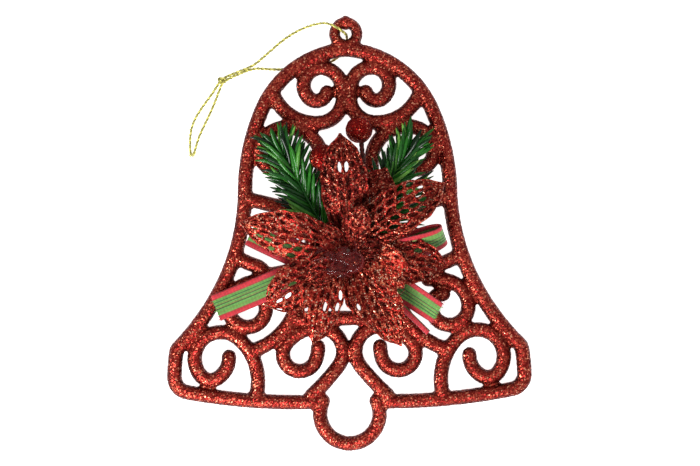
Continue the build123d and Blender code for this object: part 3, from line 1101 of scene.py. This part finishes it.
def loop(name, start, end, level, node, open_by, tilt, lift=0.0):
    """One loop of the bow: out along the bottom, round, and back along the top."""
    a, b, along, side = lay(start, end, level)
    reach = np.linalg.norm(b - a)
    up = np.array((0, 0, 1.0))
    pts, sides = [], []
    for s in np.linspace(0, 1, 110):
        angle = math.pi * (s * 2 - 1)
        out = (0.5 + 0.5 * math.cos(angle)) ** 0.72
        apart = open_by * 0.5 * math.sin(angle) * (0.35 + 0.65 * out)
        lean = tilt * out
        across = side * math.cos(lean) + up * math.sin(lean)
        normal = up * math.cos(lean) - side * math.sin(lean)
        pts.append(a + along * reach * out + normal * apart + up * (open_by * 0.5 + lift * out))
        sides.append(across)
    batch = Batch()
    length = strip(batch, pts, sides)
    ribbon_piece(name, batch, node)


tail("ribbon_end_left", (-7.6, -9.6), (-45.7, -25.2), 7.2, SEED + 80, "ribbon_tail_left")
tail("ribbon_end_right", (6.2, -12.3), (30.4, -28.1), 8.5, SEED + 81, "ribbon_tail_right", 0.3, 0.9, 0.6)
loop("bow_loop_left", (-7.0, -12.4), (-33.2, 0.4), 8.7, "ribbon_loop_left", 2.6, 0.12)
loop("bow_loop_right", (6.0, -10.4), (32.9, -0.8), 8.6, "ribbon_loop_right", 5.0, 0.8, 1.4)


FOLDS = (-1.0, -0.67, -0.22, 0.22, 0.67, 1.0)


def pleats(a):
    """A ribbon folded lengthways into five: where a point across it goes."""
    leg = min(max(i for i in range(5) if a >= FOLDS[i] - 1e-9), 4)
    share = (a - FOLDS[leg]) / (FOLDS[leg + 1] - FOLDS[leg]) - 0.5
    width = RIBBON / 2 * (FOLDS[leg + 1] - FOLDS[leg])
    return (share if leg % 2 == 0 else -share) * width, (leg - 2) * 0.3


def folded_tail(name, start, end, level, node):
    a, b, _, side = lay(start, end, level)
    pts = [a + (b - a) * s + np.array((0, 0, 0.75 + 0.3 * math.sin(3 * s))) for s in np.linspace(0, 1, 50)]
    batch = Batch()
    length = strip(batch, pts, [side] * 50, thick=0.06, fold=pleats)
    ribbon_piece(name, batch, node)


folded_tail("ribbon_end_under", (5.0, -12.2), (27.2, -34.6), 7.0, "ribbon_tail_under")

band = Batch()
ring_points = []
for a in np.linspace(0, 2 * math.pi, 61):
    ring_points.append((0.0, flower_y + 5.0 * math.copysign(abs(math.cos(a)) ** 0.7, math.cos(a)),
                        9.4 + 0.9 * math.copysign(abs(math.sin(a)) ** 0.8, math.sin(a))))
band_length = strip(band, ring_points, [(1.0, 0.0, 0.0)] * 61)
ribbon_piece("bow_band", band, "ribbon_bow_centre")

# ---- CAD nodes that stay, with a better finish ----------------------------------------
for node in ("lashing_top", "lashing_left", "lashing_right", "flower_pin"):
    if not nodes[node].material_slots:
        nodes[node].data.materials.append(lashing_wire)
    for place in nodes[node].material_slots:
        place.material = lashing_wire

# ---- floor and light ----------------------------------------------------------------
paper = Nodes("studio_floor")
tooth = paper.texture("TexNoise", Scale=40.0, Detail=2.0)
paper.paint(paper.ramp(tooth.outputs["Fac"], [(0.3, grey(0.93)), (0.7, grey(0.95))]))
paper.set(Roughness=0.9, Specular_IOR_Level=0.1, Emission_Color=(1, 1, 1, 1), Emission_Strength=0.92)
floor_data = bpy.data.meshes.new("floor")
reach, below = 3.0, -0.0002
floor_data.from_pydata([(-reach, -reach, below), (reach, -reach, below), (reach, reach, below),
                        (-reach, reach, below)], [], [(0, 1, 2, 3)])
floor_data.materials.append(paper.material)
floor = show("floor", floor_data)

world = bpy.data.worlds.new("studio")
world.use_nodes = True
sky = world.node_tree.nodes["Background"].inputs
sky["Color"].default_value = (1, 1, 1, 1)
sky["Strength"].default_value = 0.5
bpy.context.scene.world = world


def softbox(name, place, size, power):
    data = bpy.data.lights.new(name, "AREA")
    data.shape = "SQUARE"
    data.size = size
    data.energy = power
    lamp = show(name, data)
    lamp.location = place
    lamp.rotation_euler = (-Vector(place)).to_track_quat("-Z", "Y").to_euler()


softbox("key", (-0.1, -0.23, 0.23), 0.16, 1.4)
softbox("fill", (0.6, 0.5, 0.7), 0.7, 0.4)
bpy.context.scene.view_settings.view_transform = "Standard"
